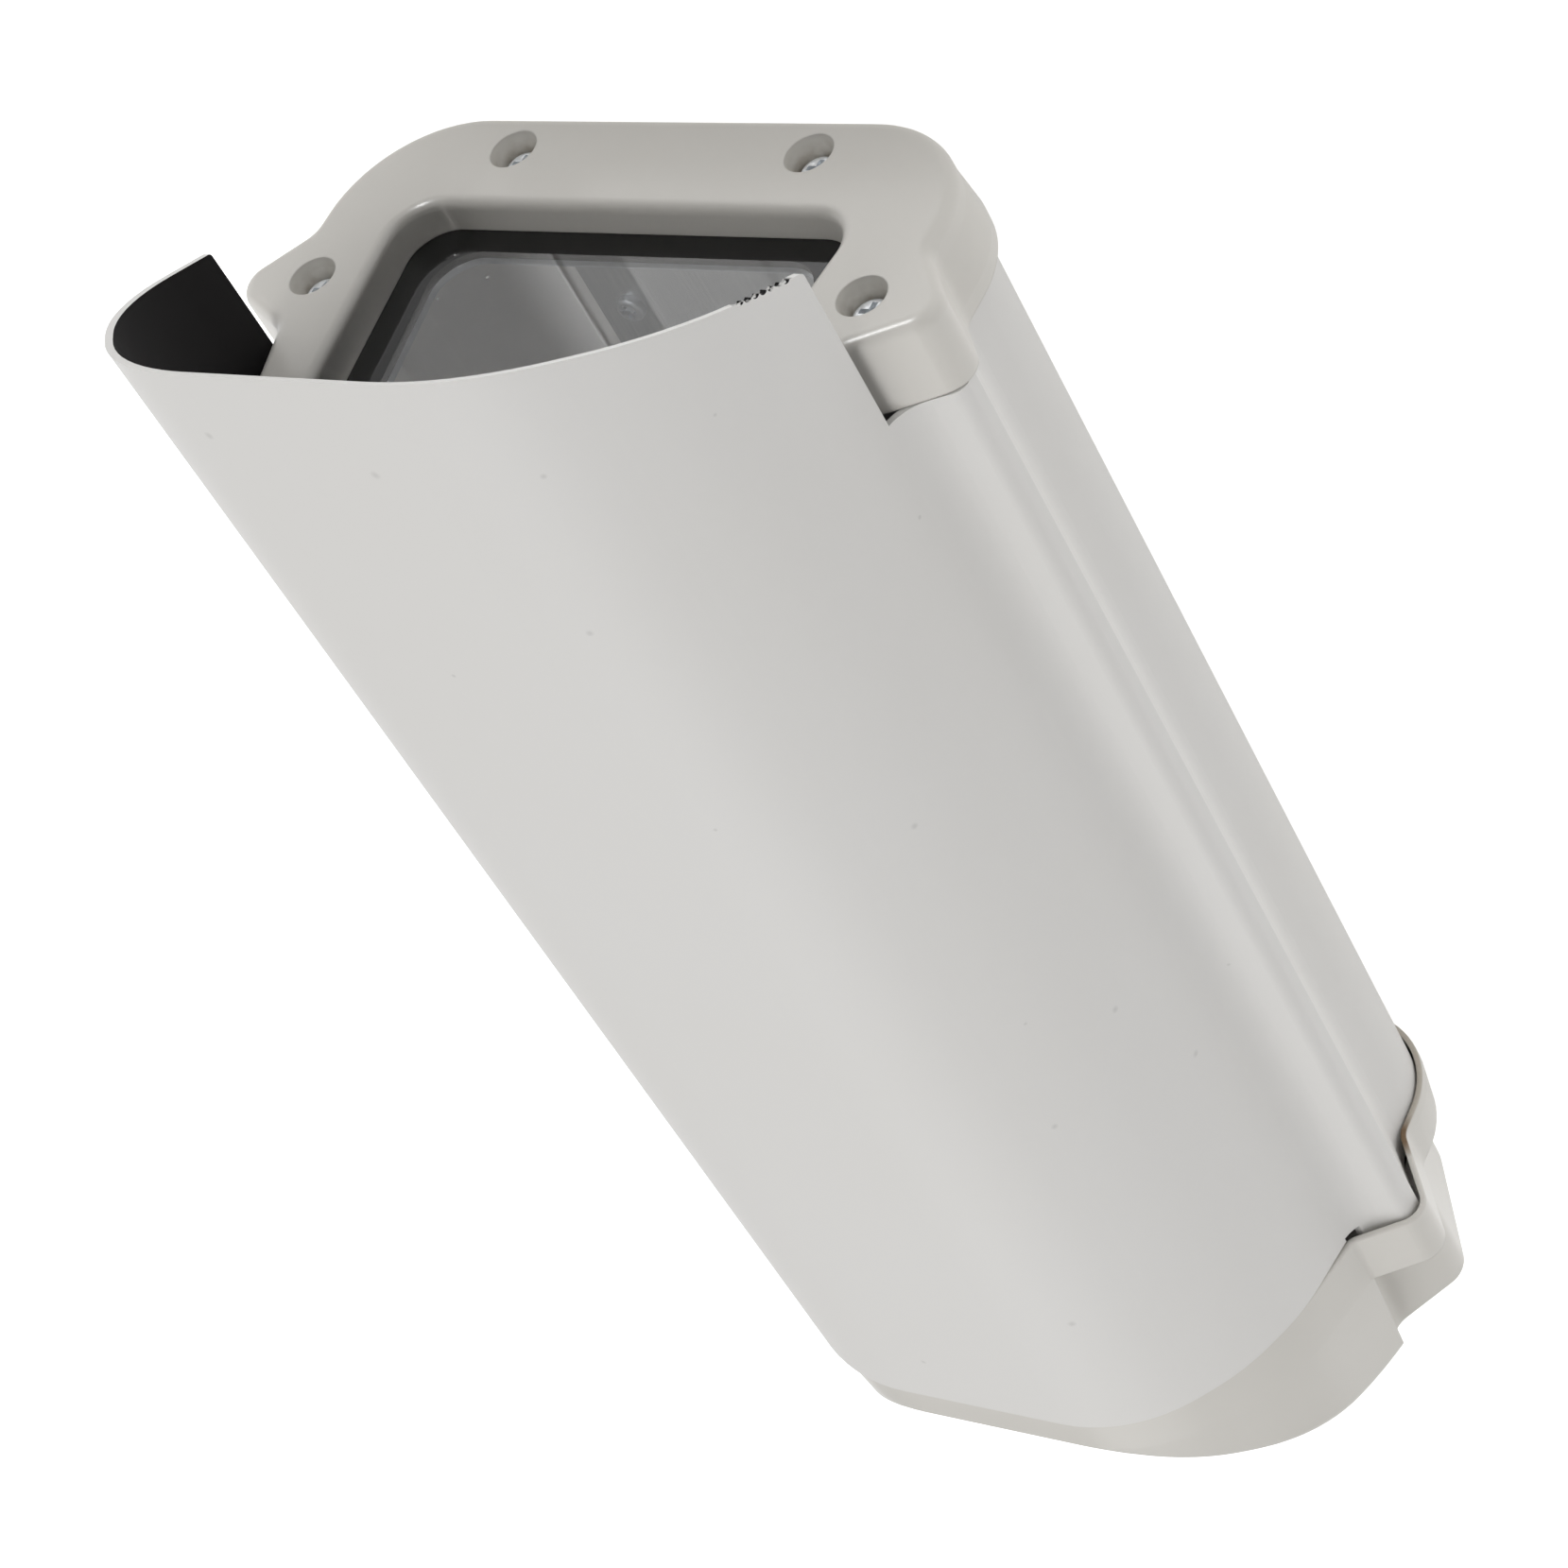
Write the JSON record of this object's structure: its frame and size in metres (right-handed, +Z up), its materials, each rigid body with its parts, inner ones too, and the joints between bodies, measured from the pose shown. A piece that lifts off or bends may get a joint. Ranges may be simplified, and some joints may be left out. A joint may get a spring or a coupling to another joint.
{
  "type": "security camera housing",
  "caption": "Outdoor camera housing: extruded tube, moulded end caps with a window and cable glands, and a sunshield that forms a hood.",
  "frame": {"origin": "middle of the bottom of the bounding box, on the plane that the caps rest on", "axes": "+Y from the window to the back, +Z up, +X to the right when looking along +Y"},
  "size_m": [0.1522, 0.3588, 0.106],
  "materials": {
    "tube_paint": "satin white powder coat",
    "shield_paint": "satin white powder coat, matte black inside",
    "cap_plastic": "fine-grained warm grey",
    "glass": "clear",
    "gasket_rubber": "matte black",
    "zinc_steel": "zinc plated",
    "tray_metal": "mill finish",
    "gland_nylon": "light grey nylon",
    "brass": "plain"
  },
  "bodies": {
    "root": {"body_tube": "tube_paint", "sunshield": "shield_paint", "front_cap": "cap_plastic", "rear_cap": "cap_plastic", "window_glass": "glass", "window_gasket": "gasket_rubber", "window_retainer": "zinc_steel", "retainer_screws": "zinc_steel", "front_gasket": "gasket_rubber", "rear_gasket": "gasket_rubber", "front_screws": "zinc_steel", "rear_screws": "zinc_steel", "camera_tray": "tray_metal", "tray_screws": "zinc_steel", "camera_screw": "zinc_steel", "camera_washer": "zinc_steel", "earth_screw": "brass", "earth_washer": "brass", "earth_nut": "brass", "gland_bodies": "gland_nylon", "gland_inserts": "gasket_rubber", "gland_nuts": "gland_nylon", "gland_seals": "gasket_rubber", "gland_locknuts": "gland_nylon"}
  },
  "joints": []
}
